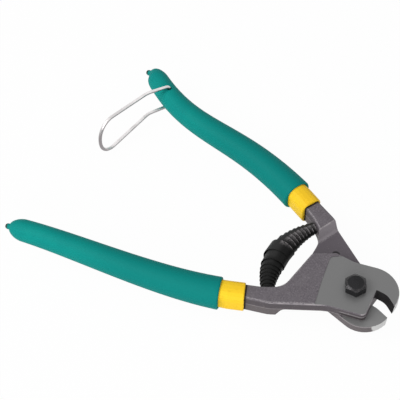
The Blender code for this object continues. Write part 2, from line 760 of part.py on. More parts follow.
def wire_half():
    """Distance and height along the wire's upper half, from inside the hole to the middle of the loop."""
    bend_centre = (WIRE_BEND, WIRE_LEG_HEIGHT - WIRE_BEND)
    half = [(0, WIRE_END_GAP / 2), (0, bend_centre[1] / 2)]
    half += [
        (bend_centre[0] - WIRE_BEND * math.cos(angle), bend_centre[1] + WIRE_BEND * math.sin(angle))
        for angle in spaced(0, math.pi / 2, WIRE_BEND_POINTS)
    ]
    rise = (WIRE_KINK_HEIGHT - WIRE_LEG_HEIGHT) / (WIRE_KINK - WIRE_BEND)
    half += [
        (distance, WIRE_LEG_HEIGHT + rise * (distance - WIRE_BEND))
        for distance in spaced(2 * WIRE_BEND, WIRE_KINK, WIRE_LEG_POINTS)
    ]
    slope = (WIRE_END_HEIGHT - WIRE_KINK_HEIGHT) / (WIRE_END_START - WIRE_KINK)
    half += [
        (distance, WIRE_KINK_HEIGHT + slope * (distance - WIRE_KINK))
        for distance in spaced(WIRE_KINK, WIRE_END_START, WIRE_LEG_POINTS)[1:]
    ]
    shoulder = (WIRE_LENGTH - WIRE_END_START) / 2
    end = interpolate_bezier(
        (WIRE_END_START, WIRE_END_HEIGHT, 0),
        (WIRE_END_START + shoulder, WIRE_END_HEIGHT + shoulder * slope, 0),
        (WIRE_LENGTH, WIRE_END_HEIGHT * WIRE_END_FULLNESS, 0),
        (WIRE_LENGTH, 0, 0),
        WIRE_END_POINTS,
    )
    return half + [(point.x, point.y) for point in end[1:]]


def lock_wire(route, parts):
    """A loop of wire whose two ends turn into the hole from above and below.

    Its origin is on the hole's axis.
    """
    upper = wire_half()
    whole = upper + [(distance, -height) for distance, height in reversed(upper[:-1])]
    curve = bpy.data.curves.new("lock_wire", "CURVE")
    curve.dimensions = "3D"
    curve.bevel_depth = WIRE_DIAMETER / 2
    curve.bevel_resolution = 2
    curve.use_fill_caps = True
    spline = curve.splines.new("POLY")
    spline.points.add(len(whole) - 1)
    for point, (distance, height) in zip(spline.points, whole):
        point.co = (*wire_plan(distance), height, 1)
    obj = add_object("lock_wire", curve, parts)
    hole = wire_hole_centre(route)
    obj.location = (hole.x, -hole.y, LAP_HEIGHT)
    curve.materials.append(make_material("lock_wire", "wire"))
    return obj


def main():
    clear_scene()
    parts = new_collection("cable_cutter")
    cutters = new_collection("cutters")
    lower_route = route_points(HOOKED)
    upper_route = route_points(STRAIGHT)
    fixed = lever("fixed_lever", HOOKED, lower_route, parts, cutters)
    moving = lever("moving_lever", STRAIGHT, upper_route, parts, cutters)
    handle("lower", lower_route, fixed, parts)
    sleeve, cover = handle("upper", upper_route, moving, parts)
    hole = wire_hole_cutter("lock_wire_hole", upper_route, moving, cutters)
    for piece in (moving, sleeve, cover):
        add_boolean(piece, "DIFFERENCE", hole)
    moving.rotation_euler.x = math.pi
    bolt = pivot_bolt(parts, cutters)
    nut = pivot_nut(parts, cutters)
    washer = pivot_washer(parts)
    ring = nut_locking_ring(parts)
    spring = return_spring(parts)
    for piece in (fixed, moving, bolt, nut, washer, ring, spring):
        piece.location.z = LAP_HEIGHT
    lock_wire(upper_route, parts)


main()
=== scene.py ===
"""Finishes the cable cutter: forged levers, pivot bolt, volute spring, dipped handles and lock wire."""

import math

import bmesh
import bpy
from bpy.props import FloatProperty, FloatVectorProperty, PointerProperty
from bpy.types import NodeSocket, Operator, Panel, PropertyGroup
from mathutils import Matrix, Vector
from mathutils.geometry import interpolate_bezier


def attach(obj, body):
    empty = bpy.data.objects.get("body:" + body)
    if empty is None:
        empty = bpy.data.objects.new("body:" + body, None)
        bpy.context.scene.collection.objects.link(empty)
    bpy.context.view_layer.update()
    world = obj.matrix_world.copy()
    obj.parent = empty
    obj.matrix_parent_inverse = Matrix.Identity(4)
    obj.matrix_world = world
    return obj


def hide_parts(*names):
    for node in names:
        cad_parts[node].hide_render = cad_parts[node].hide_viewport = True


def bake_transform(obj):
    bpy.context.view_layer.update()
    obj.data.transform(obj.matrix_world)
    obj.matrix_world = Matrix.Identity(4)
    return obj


bl_info = {
    "name": "Cable Cutter",
    "version": (1, 0, 0),
    "blender": (4, 5, 0),
    "location": "3D View > Sidebar > Cable cutter",
    "description": "Dresses a packed cable cutter with its finishes and fine pieces",
    "category": "Object",
}

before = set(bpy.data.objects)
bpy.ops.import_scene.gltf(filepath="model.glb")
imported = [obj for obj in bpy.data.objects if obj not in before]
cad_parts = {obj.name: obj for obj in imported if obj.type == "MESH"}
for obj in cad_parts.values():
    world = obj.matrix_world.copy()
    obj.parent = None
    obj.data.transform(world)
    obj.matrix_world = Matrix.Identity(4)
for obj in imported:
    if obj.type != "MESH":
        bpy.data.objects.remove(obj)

MM = 0.001
LOWER_BODY = "lower_lever"
UPPER_BODY = "upper_lever"
WIRE_BODY = "lock_wire"

# Height of the lap between the levers, and of the plates' faces above and below it
LAP_HEIGHT = 14.7 * MM
PLATE_FACE = 5.2 * MM
LAP_FACE = 0.15 * MM

# Handles: ends and bends of the centreline from the sleeve's mouth, then the end of the drip nib
LOWER_ROUTE = ((-43.6, -31.15), (-78.85, -49.1), (-133.75, -50.9), (-167.1, -61.5))
LOWER_NIB_TIP = (-167.1, -61.5)
UPPER_ROUTE = ((-43.55, 31.4), (-105.25, 57.7), (-119.05, 35.3), (-164.85, 65.15))
UPPER_NIB_TIP = (-166.55, 62.45)
ROUTE_STEP = 1.3 * MM
NIB_POINTS = 13
NIB_BEND = 8.0 * MM
SLEEVE_SHOWN = 12.0 * MM
BORE_DEPTH = 10.0 * MM
BORE_HALF_WIDTH = 5.98 * MM
BORE_HALF_HEIGHT = 7.38 * MM
BORE_CORNER = 4.9 * MM
BORE_CORNER_STEPS = 8
GRIP_BODY_STEPS = 34
LIP_STEPS = 5
DOME_STEPS = 12
DOME_POWER = 1.32
GRIP_SIDES = 12
HOLE_SIDES = 40
HOLE_DEPTH = 40 * MM

# Where the grips darken: painted shade along the tool towards the head, and the nib's own dark end round
# its tip
GRIP_SHADE_START = -150 * MM
GRIP_SHADE_END = -95 * MM
NIB_DARK_REACH = 1.5 * MM

# Jaw tips, where the side walls are ground bright, and the mouth, whose inner walls are painted dark as
# shade
HOOKED_TIP = (20.8 * MM, -0.25 * MM, LAP_HEIGHT)
STRAIGHT_TIP = (20.2 * MM, -3.1 * MM, LAP_HEIGHT)
GROUND_REACH = 9.2 * MM
MOUTH_CENTRE = (15.5 * MM, 0.5 * MM, LAP_HEIGHT)
MOUTH_REACH = 9.5 * MM

# Machined lap: a disc about the pivot, and the jaws from a line in front of it
LAP_RADIUS = 13.3 * MM
JAW_START = 2.0 * MM

# Rear corner of the fixed plate, where it stands over the moving lever and a shadow is painted in the
# crevice below it
PLATE_CORNER = (-19.4 * MM, 15.0 * MM, LAP_HEIGHT)
CORNER_SHADOW_REACH = 1.8 * MM

# Heights above the lap on the side walls: the parting line, where the walls' painted shade changes and a
# painted highlight runs, and the ridge on each head, with a painted highlight along it and, on the fixed
# lever, a painted shadow below it
PARTING_HEIGHT = 0.4 * MM
HOOKED_RIDGE = 2.7 * MM
STRAIGHT_RIDGE = -0.5 * MM

# Return spring
SEAT_ANGLE = math.radians(32.5)
LOWER_SEAT_DISTANCE = 42.35 * MM
UPPER_SEAT_DISTANCE = 43.3 * MM
MEAN_SEAT_DISTANCE = (LOWER_SEAT_DISTANCE + UPPER_SEAT_DISTANCE) / 2
SPRING_END_DIAMETER = 5.5 * MM
SPRING_MIDDLE_DIAMETER = 13.2 * MM
STRIP_WIDTH = 6.2 * MM
TURNS_EACH_HALF = 9.0
CLOSED_TURNS = 0.75
LOWER_END_STEP = 1.95 * MM
UPPER_END_STEP = 2.28 * MM
MIDDLE_SHARE = 0.48
SWELL_POWER = 12.0
EVEN_SWELL = 0.8
COIL_LEAN = 0.1
COIL_SIDES = 48
RIM_WIDTH = 0.5 * MM
RIM_FLARE = 0.12 * MM
SEAT_GAP = 0.3 * MM

# Lock wire
WIRE_HOLE_TO_NIB_END = 21.8 * MM
WIRE_LEG_HEIGHT = 7.85 * MM
WIRE_END_GAP = 1.2 * MM
WIRE_BEND = 2.0 * MM
WIRE_KINK = 12.5 * MM
WIRE_KINK_SOFTNESS = 2.5 * MM
WIRE_KINK_HEIGHT = 8.4 * MM
WIRE_END_START = 38.5 * MM
WIRE_END_HEIGHT = 11.8 * MM
WIRE_LENGTH = 48.3 * MM
WIRE_END_FULLNESS = 0.74
WIRE_FIRST_HEADING = math.radians(238.5)
WIRE_SECOND_HEADING = math.radians(260.4)
WIRE_POINTS = 24
WIRE_SIDES = 6

# Stage
FLOOR_SIZE = 6.0
FLOOR_HEIGHT = -0.1 * MM
LAMP_AIM = (-0.06, 0.0, 0.01)
KEY_PLACE = (-0.8, -0.8, 1.15)
KEY_SIZE = 1.0
FILL_PLACE = (0.5, -1.15, 0.6)
FILL_SIZE = 0.9

# Camera: its place, and the directions to its right, its top and its back
CAMERA_PLACE = (0.17516, -0.40062, 0.66379)
CAMERA_RIGHT = (0.8335, 0.5525, 0.0)
CAMERA_UP = (-0.4417, 0.6663, 0.6008)
CAMERA_BACK = (0.3319, -0.5008, 0.7994)
CAMERA_LENS = 143.505
CAMERA_SENSOR = 36.0


def paint(red, green, blue):
    """A colour given as it looks on a screen, 0 to 255, as Blender's own linear numbers."""
    return tuple(((channel / 255 + 0.055) / 1.055) ** 2.4 for channel in (red, green, blue))


def length_property(name, description, default, smallest, largest):
    """A length whose numbers are given in millimetres."""
    return FloatProperty(
        name=name, description=description, default=default * MM, min=smallest * MM, max=largest * MM,
        unit="LENGTH", precision=5,
    )


class CutterSizes(PropertyGroup):
    """Sizes of the fine pieces that stand for plain solids."""

    grip_start_width: length_property(
        "Grip width at mouth", "Width of the green grip where it starts", 16.1, 14, 20,
    )
    grip_end_width: length_property(
        "Grip width at end", "Width of the green grip before its domed end", 10.9, 8, 14,
    )
    grip_height_ratio: FloatProperty(
        name="Grip height ratio", description="Height of the grip's section over its width",
        default=1.06, min=0.9, max=1.2,
    )
    grip_lip: length_property("Grip lip", "Radius of the rolled lip at the grip's mouth", 0.8, 0.2, 1.5)
    grip_dome: length_property("Grip dome", "Length of the domed end of the grip", 8.5, 4, 12)
    nib_width: length_property("Nib width", "Width of the drip nib at its root", 2.9, 1, 5)
    nib_end_width: length_property("Nib end width", "Width of the drip nib at its end", 1.7, 0.5, 4)
    nib_length: length_property("Nib length", "Length of the drip nib left by dipping", 2.4, 0.5, 5)
    strip_thickness: length_property(
        "Spring strip", "Thickness of the strip that the spring is wound from", 0.18, 0.1, 0.4,
    )
    wire_diameter: length_property("Lock wire", "Diameter of the lock wire", 1.8, 1, 2.2)
    wire_hole: length_property("Wire hole", "Diameter of the hole through the upper handle", 2.5, 2.3, 4)


def colour_property(name, description, colour):
    return FloatVectorProperty(
        name=name, description=description, default=colour, size=3, min=0, max=1, subtype="COLOR",
    )


class CutterColours(PropertyGroup):
    """Colours of the cutter's finishes."""

    forging: colour_property("Forging", "Scaled surface of the forged levers", paint(112, 106, 112))
    forging_dark: colour_property("Forging shade", "Darker grain of the forging", paint(92, 87, 92))
    forging_light: colour_property("Forging light", "Lighter patches of the forging", paint(122, 117, 121))
    # Painted shade: the side walls are darker copies of the forging, above and below the parting line
    upper_wall_shade: colour_property("Forging wall", "Side walls above the parting line", paint(86, 80, 84))
    lower_wall_shade: colour_property("Forging low wall", "Side walls below it", paint(103, 97, 99))
    # Painted light: the slopes between arm and plate, painted lighter as if lit
    lit_ramp: colour_property("Forging ramp", "Slopes between arm and plate", paint(138, 132, 137))
    # Painted shadow at the foot of the fixed plate's walls, under the head
    head_foot_shadow: colour_property("Head foot", "Shadow-painted foot of the fixed plate's walls", paint(62, 57, 59))
    lap: colour_property("Lap face", "Scaled face behind the machined lap", paint(96, 90, 96))
    # Worn steel, also used as painted highlight on edges, ridges, parting lines, ramp tops and spring rims
    wear_and_highlight: colour_property("Rubbed steel", "Steel showing on worn edges and specks", paint(184, 178, 180))
    ground: colour_property("Ground steel", "Flat machined faces of the head", paint(121, 121, 121))
    # Painted light: the ground steel is painted lighter on the jaws' lap faces
    ground_jaw_lit: colour_property("Ground jaw", "Lap faces of the jaws", paint(130, 130, 130))
    ground_wall: colour_property("Ground jaw wall", "Bright walls at the jaw tips", paint(205, 205, 204))
    # Painted shade: the walls inside the mouth, the crevice under the plate's corner and the line at the
    # sleeve's mouth
    painted_shade: colour_property("Cutting wall", "Dark walls inside the mouth", paint(28, 26, 27))
    bolt: colour_property("Black bolt", "Blackened bolt", paint(32, 32, 34))
    spring: colour_property("Black spring", "Blackened spring strip", paint(43, 43, 43))
    # Painted shade on the spring's side towards the pivot and on its lower rims
    spring_shade: colour_property(
        "Black spring, deep", "Side of the spring towards the pivot", paint(14, 14, 14),
    )
    zinc: colour_property("Zinc", "Plated nut and washer", paint(176, 177, 180))
    nylon: colour_property("Nylon", "Locking ring in the nut", paint(70, 110, 180))
    sleeve: colour_property("Yellow sleeve", "Inner dipped layer", paint(254, 206, 44))
    grip: colour_property("Green grip", "Outer dipped layer", paint(2, 139, 133))
    grip_light: colour_property("Green grip, light", "Lighter patches of the grip", paint(6, 145, 137))
    nib: colour_property("Nib end", "Dark end of the drip nib", paint(48, 52, 44))
    wire: colour_property("Lock wire", "Plated wire", paint(236, 232, 232))
    # Painted shade on the underside of the wire
    wire_shade: colour_property("Lock wire, under", "Duller underside of the wire", paint(150, 145, 147))
    floor: colour_property("Floor", "Plain pale floor", paint(240, 240, 240))


class CutterStage(PropertyGroup):
    """Strengths of the studio light."""

    key_power: FloatProperty(
        name="Key lamp", description="Power of the large soft lamp",
        default=12.0, min=0, unit="POWER",
    )
    fill_power: FloatProperty(
        name="Fill lamp", description="Power of the lamp on the other side",
        default=7.0, min=0, unit="POWER",
    )
    sky: FloatProperty(
        name="Room light", description="Strength of the even light of the room",
        default=0.42, min=0, max=1,
    )
    floor_glow: FloatProperty(
        name="Floor whiteness", description="Share of plain white in the floor where it is seen directly",
        default=0.97, min=0, max=1,
    )


# Selecting and finishing

def deselect_all():
    bpy.ops.object.select_all(action="DESELECT")


def make_active(obj):
    deselect_all()
    obj.select_set(True)
    bpy.context.view_layer.objects.active = obj


def added(name):
    """The object that the last primitive operator made, under its new name."""
    obj = bpy.context.object
    obj.name = name
    obj.data.name = name
    return obj


def apply_place(obj):
    make_active(obj)
    bpy.ops.object.transform_apply(location=True, rotation=True, scale=True)


def apply_modifiers(obj):
    make_active(obj)
    for modifier in list(obj.modifiers):
        bpy.ops.object.modifier_apply(modifier=modifier.name)


def select_edges(obj, wanted):
    """Enters edit mode with only the edges selected whose two ends satisfy a test."""
    make_active(obj)
    bpy.ops.object.mode_set(mode="EDIT")
    bpy.ops.mesh.select_mode(type="EDGE")
    bpy.ops.mesh.select_all(action="DESELECT")
    mesh = bmesh.from_edit_mesh(obj.data)
    for edge in mesh.edges:
        edge.select = wanted(*(vert.co for vert in edge.verts))
    mesh.select_flush_mode()
    bmesh.update_edit_mesh(obj.data)


def leave_edit():
    bpy.ops.object.mode_set(mode="OBJECT")


def tidy_mesh(obj):
    """Merges doubled points and turns every face outwards."""
    make_active(obj)
    bpy.ops.object.mode_set(mode="EDIT")
    bpy.ops.mesh.select_all(action="SELECT")
    bpy.ops.mesh.remove_doubles(threshold=0.001 * MM)
    bpy.ops.mesh.normals_make_consistent(inside=False)
    leave_edit()


def smooth(obj, degrees):
    make_active(obj)
    bpy.ops.object.shade_smooth_by_angle(angle=math.radians(degrees))


def combine(obj, tool, operation):
    """Cuts or joins a tool object into another one and removes the tool."""
    modifier = obj.modifiers.new("combine", "BOOLEAN")
    modifier.operation = operation
    modifier.solver = "EXACT"
    modifier.object = tool
    apply_modifiers(obj)
    bpy.data.objects.remove(tool, do_unlink=True)


def paint_nodes(names, material):
    for name in names:
        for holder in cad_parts[name].material_slots:
            holder.material = material


def place_piece(obj, material, node, body):
    """Gives a finished piece its material and lets it stand for a plain solid."""
    obj.data.materials.clear()
    obj.data.materials.append(material)
    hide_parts(node)
    if body:
        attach(obj, body)


# Handle route

def handle_route(ends, nib_tip):
    """The handle's centreline, with its last part bent towards the end of the nib."""
    corners = [Vector((x * MM, y * MM, 0)) for x, y in ends]
    points = interpolate_bezier(*corners, math.ceil((corners[-1] - corners[0]).length / ROUTE_STEP))
    kept = [point for point in points if (point - points[-1]).length > NIB_BEND]
    tip = Vector((nib_tip[0] * MM, nib_tip[1] * MM, 0))
    bend = kept[-1] + (kept[-1] - kept[-2]).normalized() * (tip - kept[-1]).length / 2
    return kept[:-1] + interpolate_bezier(kept[-1], bend, bend, tip, NIB_POINTS)


def route_length(route):
    return sum((end - start).length for start, end in zip(route, route[1:]))


def station(route, distance):
    """The point and the heading at a distance along a route, at the height of the lap."""
    walked = 0.0
    for start, end in zip(route, route[1:]):
        step = (end - start).length
        if walked + step >= distance or end is route[-1]:
            heading = (end - start) / step
            return start + heading * (distance - walked) + Vector((0, 0, LAP_HEIGHT)), heading
        walked += step


def spaced(start, end, count):
    return [start + (end - start) * index / (count - 1) for index in range(count)]


def swept_skin(name, points, radii, resolution):
    """A closed round skin along points, modelled as a bevelled curve and made a mesh."""
    deselect_all()
    bpy.ops.curve.primitive_bezier_curve_add(radius=MM, location=(0, 0, 0))
    obj = added(name)
    curve = obj.data
    curve.splines.remove(curve.splines[0])
    curve.dimensions = "3D"
    curve.bevel_depth = MM
    curve.bevel_resolution = resolution
    curve.use_fill_caps = True
    spline = curve.splines.new("POLY")
    spline.points.add(len(points) - 1)
    for knot, point, radius in zip(spline.points, points, radii):
        knot.co = (*point, 1)
        knot.radius = radius / MM
    make_active(obj)
    bpy.ops.object.convert(target="MESH")
    obj = added(name)
    tidy_mesh(obj)
    return obj


# Shared shader groups

def new_group(name, inputs, outputs):
    """An empty shader group with named sockets, each given as a name and a socket type."""
    group = bpy.data.node_groups.new(name, "ShaderNodeTree")
    for socket_name, kind in inputs:
        group.interface.new_socket(name=socket_name, in_out="INPUT", socket_type=kind)
    for socket_name, kind in outputs:
        group.interface.new_socket(name=socket_name, in_out="OUTPUT", socket_type=kind)
    return group, group.nodes.new("NodeGroupInput"), group.nodes.new("NodeGroupOutput")


def feed(tree, value, socket):
    if isinstance(value, NodeSocket):
        tree.links.new(value, socket)
    elif socket.type == "RGBA":
        socket.default_value = (*value, 1.0)
    else:
        socket.default_value = value


def place_group(tree, name, **values):
    """Puts a shared group in a material; an input's spaces are written as underscores."""
    node = tree.nodes.new("ShaderNodeGroup")
    node.node_tree = bpy.data.node_groups[name]
    for key, value in values.items():
        feed(tree, value, node.inputs[key.replace("_", " ")])
    return node


def reckon(tree, operation, *values):
    node = tree.nodes.new("ShaderNodeMath")
    node.operation = operation
    for socket, value in zip(node.inputs, values):
        feed(tree, value, socket)
    return node.outputs[0]


def rising(tree, value, low, high):
    """A soft step from 0 at the low value to 1 at the high one."""
    node = tree.nodes.new("ShaderNodeMapRange")
    node.interpolation_type = "SMOOTHSTEP"
    feed(tree, value, node.inputs["Value"])
    feed(tree, low, node.inputs["From Min"])
    feed(tree, high, node.inputs["From Max"])
    return node.outputs["Result"]


def noise(tree, vector, scale, detail=3.0):
    node = tree.nodes.new("ShaderNodeTexNoise")
    feed(tree, vector, node.inputs["Vector"])
    feed(tree, scale, node.inputs["Scale"])
    feed(tree, detail, node.inputs["Detail"])
    return node.outputs["Fac"]


def blended(tree, share, first, second):
    """A colour between two others."""
    node = tree.nodes.new("ShaderNodeMix")
    node.data_type = "RGBA"
    feed(tree, share, node.inputs["Factor"])
    feed(tree, first, node.inputs[6])
    feed(tree, second, node.inputs[7])
    return node.outputs[2]


def between(tree, share, first, second):
    """A number between two others."""
    return reckon(tree, "ADD", first, reckon(tree, "MULTIPLY", share, second - first))


def build_surface_grain():
    """Fine specks and broad patches of a cast, dipped or scaled surface."""
    group, given, result = new_group(
        "surface_grain",
        (("Vector", "NodeSocketVector"), ("Scale", "NodeSocketFloat")),
        (("Fine", "NodeSocketFloat"), ("Broad", "NodeSocketFloat")),
    )
    scale = given.outputs["Scale"]
    fine = noise(group, given.outputs["Vector"], scale, 4.0)
    broad = noise(group, given.outputs["Vector"], reckon(group, "DIVIDE", scale, 7.0), 2.0)
    group.links.new(fine, result.inputs["Fine"])
    group.links.new(rising(group, broad, 0.36, 0.64), result.inputs["Broad"])


def build_edge_mask():
    """A mask of the rounded edges between flat faces and side walls, broken up by grain, where wear and
    painted highlights are laid.
    """
    group, given, result = new_group(
        "edge_mask_for_wear_and_light",
        (("Normal", "NodeSocketVector"), ("Grain", "NodeSocketFloat")),
        (("Mask", "NodeSocketFloat"),),
    )
    parts = group.nodes.new("ShaderNodeSeparateXYZ")
    group.links.new(given.outputs["Normal"], parts.inputs[0])
    tilt = reckon(group, "ABSOLUTE", parts.outputs["Z"])
    off_wall = rising(group, tilt, 0.4, 0.62)
    off_flat = rising(group, tilt, 0.975, 0.9)
    patchy = rising(group, given.outputs["Grain"], 0.35, 0.6)
    mask = reckon(group, "MULTIPLY", reckon(group, "MULTIPLY", off_wall, off_flat), patchy)
    group.links.new(mask, result.inputs["Mask"])


def build_fine_lines():
    """Close parallel lines, as grinding or drawing leaves them."""
    group, given, result = new_group(
        "fine_lines",
        (("Vector", "NodeSocketVector"), ("Turn", "NodeSocketFloat"), ("Scale", "NodeSocketFloat")),
        (("Lines", "NodeSocketFloat"),),
    )
    turn = group.nodes.new("ShaderNodeCombineXYZ")
    group.links.new(given.outputs["Turn"], turn.inputs["Z"])
    mapping = group.nodes.new("ShaderNodeMapping")
    mapping.inputs["Scale"].default_value = (0.04, 1.0, 1.0)
    group.links.new(given.outputs["Vector"], mapping.inputs["Vector"])
    group.links.new(turn.outputs["Vector"], mapping.inputs["Rotation"])
    lines = noise(group, mapping.outputs["Vector"], given.outputs["Scale"], 2.0)
    group.links.new(lines, result.inputs["Lines"])


# Materials

def new_material(name, roughness, metallic, specular=0.5):
    """A material with its Principled shader and the coordinates that its patterns read."""
    material = bpy.data.materials.new(name)
    material.use_nodes = True
    tree = material.node_tree
    shader = tree.nodes["Principled BSDF"]
    shader.inputs["Roughness"].default_value = roughness
    shader.inputs["Metallic"].default_value = metallic
    shader.inputs["Specular IOR Level"].default_value = specular
    return material, tree, shader, tree.nodes.new("ShaderNodeTexCoord")


def parts_of(tree, vector):
    node = tree.nodes.new("ShaderNodeSeparateXYZ")
    tree.links.new(vector, node.inputs[0])
    return node.outputs


def product(tree, *shares):
    result = shares[0]
    for share in shares[1:]:
        result = reckon(tree, "MULTIPLY", result, share)
    return result


def vector_step(tree, operation, *values):
    """One step of vector arithmetic, as a vector or, for a distance or a dot product, a number."""
    node = tree.nodes.new("ShaderNodeVectorMath")
    node.operation = operation
    for socket, value in zip(node.inputs, values):
        feed(tree, value, socket)
    return node.outputs["Value" if operation in ("DISTANCE", "DOT_PRODUCT") else "Vector"]


def distance_from(tree, place, point):
    return vector_step(tree, "DISTANCE", place, point)


def add_bump(tree, shader, height, strength, distance):
    bump = tree.nodes.new("ShaderNodeBump")
    bump.inputs["Strength"].default_value = strength
    bump.inputs["Distance"].default_value = distance
    tree.links.new(height, bump.inputs["Height"])
    tree.links.new(bump.outputs["Normal"], shader.inputs["Normal"])


def lay_finish(tree, shader, colour, pattern, smoothest, roughest, strength, depth):
    """Gives the shader its colour, and takes its roughness and its fine relief from one pattern."""
    tree.links.new(colour, shader.inputs["Base Color"])
    tree.links.new(between(tree, pattern, smoothest, roughest), shader.inputs["Roughness"])
    add_bump(tree, shader, pattern, strength, depth)


def off_level(tree, value, level):
    """How far a value lies from a level, either way."""
    return reckon(tree, "ABSOLUTE", reckon(tree, "SUBTRACT", value, level))


def level_face(tree, height, upright, level):
    """The flat faces at one height above or below the lap."""
    apart = off_level(tree, height, level)
    return product(tree, rising(tree, apart, 0.08 * MM, 0.04 * MM), rising(tree, upright, 0.97, 0.99))


def machined_masks(tree, place, height, upright):
    """All the machined faces, outside and on the lap, and the lap faces of the jaws alone."""
    outside = level_face(tree, height, upright, PLATE_FACE)
    lap = level_face(tree, height, upright, LAP_FACE)
    from_pivot = distance_from(tree, place, (0, 0, LAP_HEIGHT))
    round_pivot = rising(tree, from_pivot, LAP_RADIUS + 0.3 * MM, LAP_RADIUS - 0.3 * MM)
    on_jaw = rising(tree, parts_of(tree, place)["X"], JAW_START - 0.5 * MM, JAW_START + 0.5 * MM)
    jaw_lap = product(tree, lap, on_jaw)
    whole = reckon(tree, "MAXIMUM", outside, product(tree, lap, round_pivot))
    return reckon(tree, "MAXIMUM", whole, jaw_lap), jaw_lap


def scaled_forging(tree, colours, grain, height, upright, wall):
    """The forging's scale with its broad patches, its rough lap face, and its side walls painted darker as
    shade.
    """
    scale_grain = rising(tree, grain.outputs["Fine"], 0.34, 0.66)
    finish = blended(tree, scale_grain, colours.forging_dark, colours.forging)
    finish = blended(tree, product(tree, grain.outputs["Broad"], 0.22), finish, colours.forging_light)
    finish = blended(tree, level_face(tree, height, upright, LAP_FACE), finish, colours.lap)
    return blended(tree, wall, finish, colours.upper_wall_shade)


def with_wall_marks(tree, finish, colours, place, above, wall, ridge_height, foot_shadow_colour):
    """Adds a lighter painted shade on the side walls below the parting line, a painted shadow at the foot
    of the head's walls and a painted highlight along their ridge.
    """
    below_parting = rising(tree, above, PARTING_HEIGHT + 0.2 * MM, PARTING_HEIGHT - 0.2 * MM)
    # Painted shade on the walls below the parting line, lighter than above it
    finish = blended(tree, product(tree, wall, below_parting), finish, colours.lower_wall_shade)
    head_side = product(tree, wall, rising(tree, parts_of(tree, place)["X"], -1 * MM, MM))
    # Painted shadow at the foot of the head's walls
    foot = product(tree, head_side, rising(tree, above, ridge_height, ridge_height - 0.6 * MM))
    finish = blended(tree, foot, finish, foot_shadow_colour)
    # Painted highlight along the ridge of the head's walls
    on_ridge = rising(tree, off_level(tree, above, ridge_height), 0.5 * MM, 0.2 * MM)
    return blended(tree, product(tree, head_side, on_ridge, 0.45), finish, colours.wear_and_highlight)


def with_wear_and_painted_light(tree, finish, colours, normal, grain, above, height, upright, wall):
    """Adds specks, the ramps painted lighter as painted light, the worn edges with painted highlights, and
    painted highlights along the parting line and the tops of the ramps.
    """
    facing = parts_of(tree, normal)
    fine = grain.outputs["Fine"]
    specks = product(tree, rising(tree, fine, 0.62, 0.74), 0.3)
    finish = blended(tree, specks, finish, colours.wear_and_highlight)
    # Painted light: the sloped ramp faces are painted lighter
    ramp = product(tree, rising(tree, facing["X"], 0.3, 0.5), rising(tree, upright, 0.3, 0.45))
    finish = blended(tree, ramp, finish, colours.lit_ramp)
    # Worn edges with painted highlights, fewer on edges turned to the rear
    edges = place_group(tree, "edge_mask_for_wear_and_light", Normal=normal, Grain=fine)
    off_ramp = rising(tree, facing["X"], 0.45, 0.3)
    less_at_rear = between(tree, rising(tree, facing["Y"], 0.1, 0.35), 0.52, 0.1)
    wear_and_glint = product(tree, edges.outputs["Mask"], off_ramp, less_at_rear)
    finish = blended(tree, wear_and_glint, finish, colours.wear_and_highlight)
    # Painted highlight along the parting line
    on_parting = rising(tree, off_level(tree, above, PARTING_HEIGHT), 0.4 * MM, 0.15 * MM)
    finish = blended(tree, product(tree, on_parting, wall, fine, 0.6), finish, colours.wear_and_highlight)
    # Painted highlight along the tops of the ramps
    near_plate = rising(tree, height, PLATE_FACE - 0.7 * MM, PLATE_FACE - 0.1 * MM)
    forwards = rising(tree, facing["X"], 0.25, 0.45)
    ramp_top = product(tree, near_plate, forwards, grain.outputs["Broad"], 0.8)
    return blended(tree, ramp_top, finish, colours.wear_and_highlight)


def with_painted_shadows(tree, finish, colours, place, height, upright, route):
    """Adds a painted shadow in the crevice under the plate's rear corner and a painted shadow line at the
    sleeve's mouth.
    """
    lap = level_face(tree, height, upright, LAP_FACE)
    from_corner = distance_from(tree, place, PLATE_CORNER)
    near_corner = rising(tree, from_corner, CORNER_SHADOW_REACH + 0.7 * MM, CORNER_SHADOW_REACH)
    finish = blended(tree, product(tree, lap, near_corner, 0.9), finish, colours.painted_shade)
    # Painted shadow line on the arm at the sleeve's mouth
    mouth, heading = station(route, 0)
    past_mouth = vector_step(tree, "DOT_PRODUCT", vector_step(tree, "SUBTRACT", place, mouth), heading)
    return blended(tree, rising(tree, past_mouth, -1.2 * MM, -0.5 * MM), finish, colours.painted_shade)


def jaw_walls(tree, place, facing, upright, wall, tip, mouth_side):
    """The ground outer walls at the jaw's tip, and the walls inside the mouth, painted dark as shade."""
    to_mouth = product(tree, facing["Y"], mouth_side)
    near_tip = rising(tree, distance_from(tree, place, tip), GROUND_REACH + 0.8 * MM, GROUND_REACH)
    ground = product(tree, near_tip, wall, rising(tree, to_mouth, 0.35, 0.15))
    in_mouth = rising(tree, distance_from(tree, place, MOUTH_CENTRE), MOUTH_REACH, MOUTH_REACH - MM)
    sloped = rising(tree, upright, 0.6, 0.45)
    return ground, product(tree, in_mouth, sloped, rising(tree, to_mouth, 0.15, 0.35))


